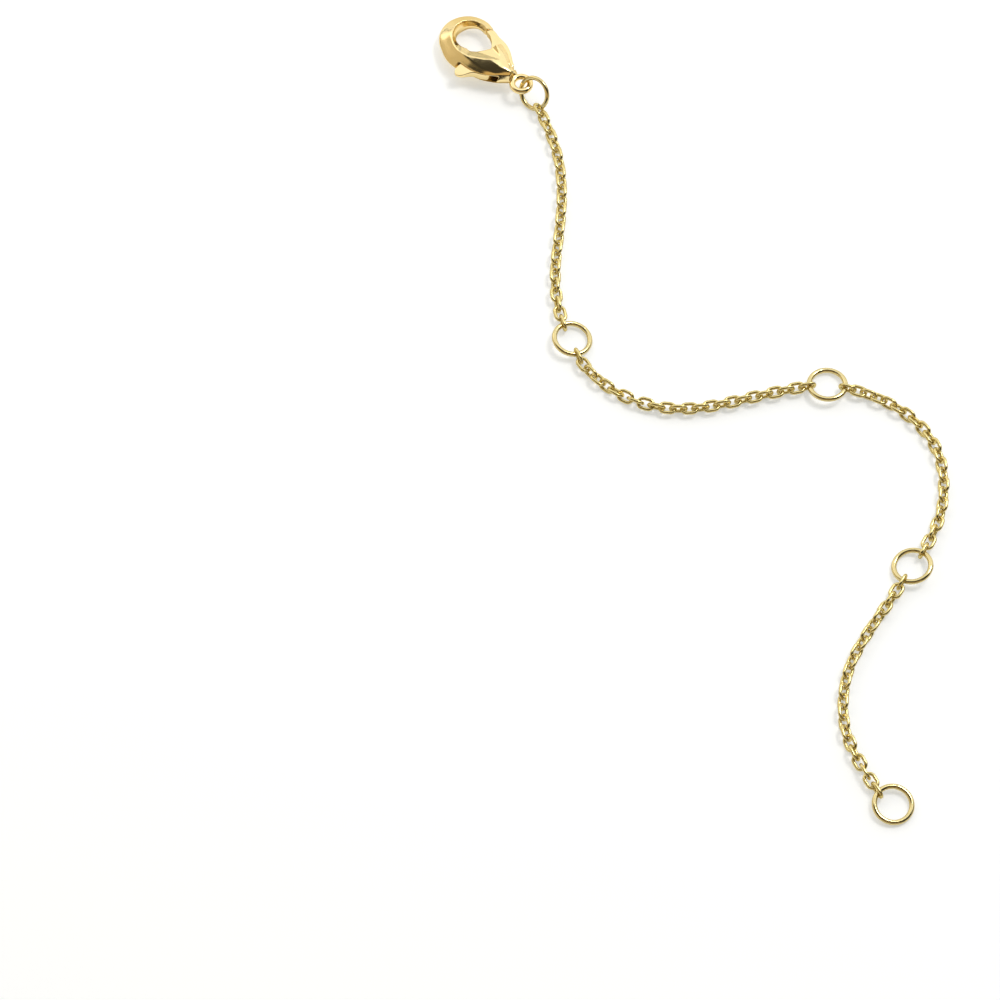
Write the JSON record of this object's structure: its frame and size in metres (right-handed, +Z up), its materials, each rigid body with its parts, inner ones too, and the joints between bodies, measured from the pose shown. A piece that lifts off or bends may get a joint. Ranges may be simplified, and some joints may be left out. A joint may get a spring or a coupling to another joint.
{
  "type": "necklace extender chain",
  "caption": "Fine cable chain with round rings set along it, a lobster clasp with a sprung lever at one end and a plain ring at the other, lying as laid down.",
  "frame": {"origin": "middle of the bounding box's footprint, on the surface that the chain lies on", "axes": "+Z up, +Y the long way of the layout towards the clasp, +X to the right seen from above with the clasp at the far side"},
  "size_m": [0.0462, 0.0822, 0.0029],
  "materials": {
    "gold_plate": "polished"
  },
  "bodies": {
    "root": {"clasp_body": "gold_plate", "clasp_pivot": "gold_plate", "jump_ring": "gold_plate", "chain_1": "gold_plate", "extender_ring_1": "gold_plate", "chain_2": "gold_plate", "extender_ring_2": "gold_plate", "chain_3": "gold_plate", "extender_ring_3": "gold_plate", "chain_4": "gold_plate", "end_ring": "gold_plate"},
    "lever": {"clasp_lever": "gold_plate"}
  },
  "joints": [
    {"name": "lever_hinge", "type": "hinge", "parent": "root", "child": "lever", "pos_m": [-0.01658, 0.03506, 0.00131], "axis": [0.0026, 0.0739, 0.9973], "range_deg": [0, 20], "stiffness_Nm_per_rad": 0.01, "springref_deg": -17.19}
  ]
}
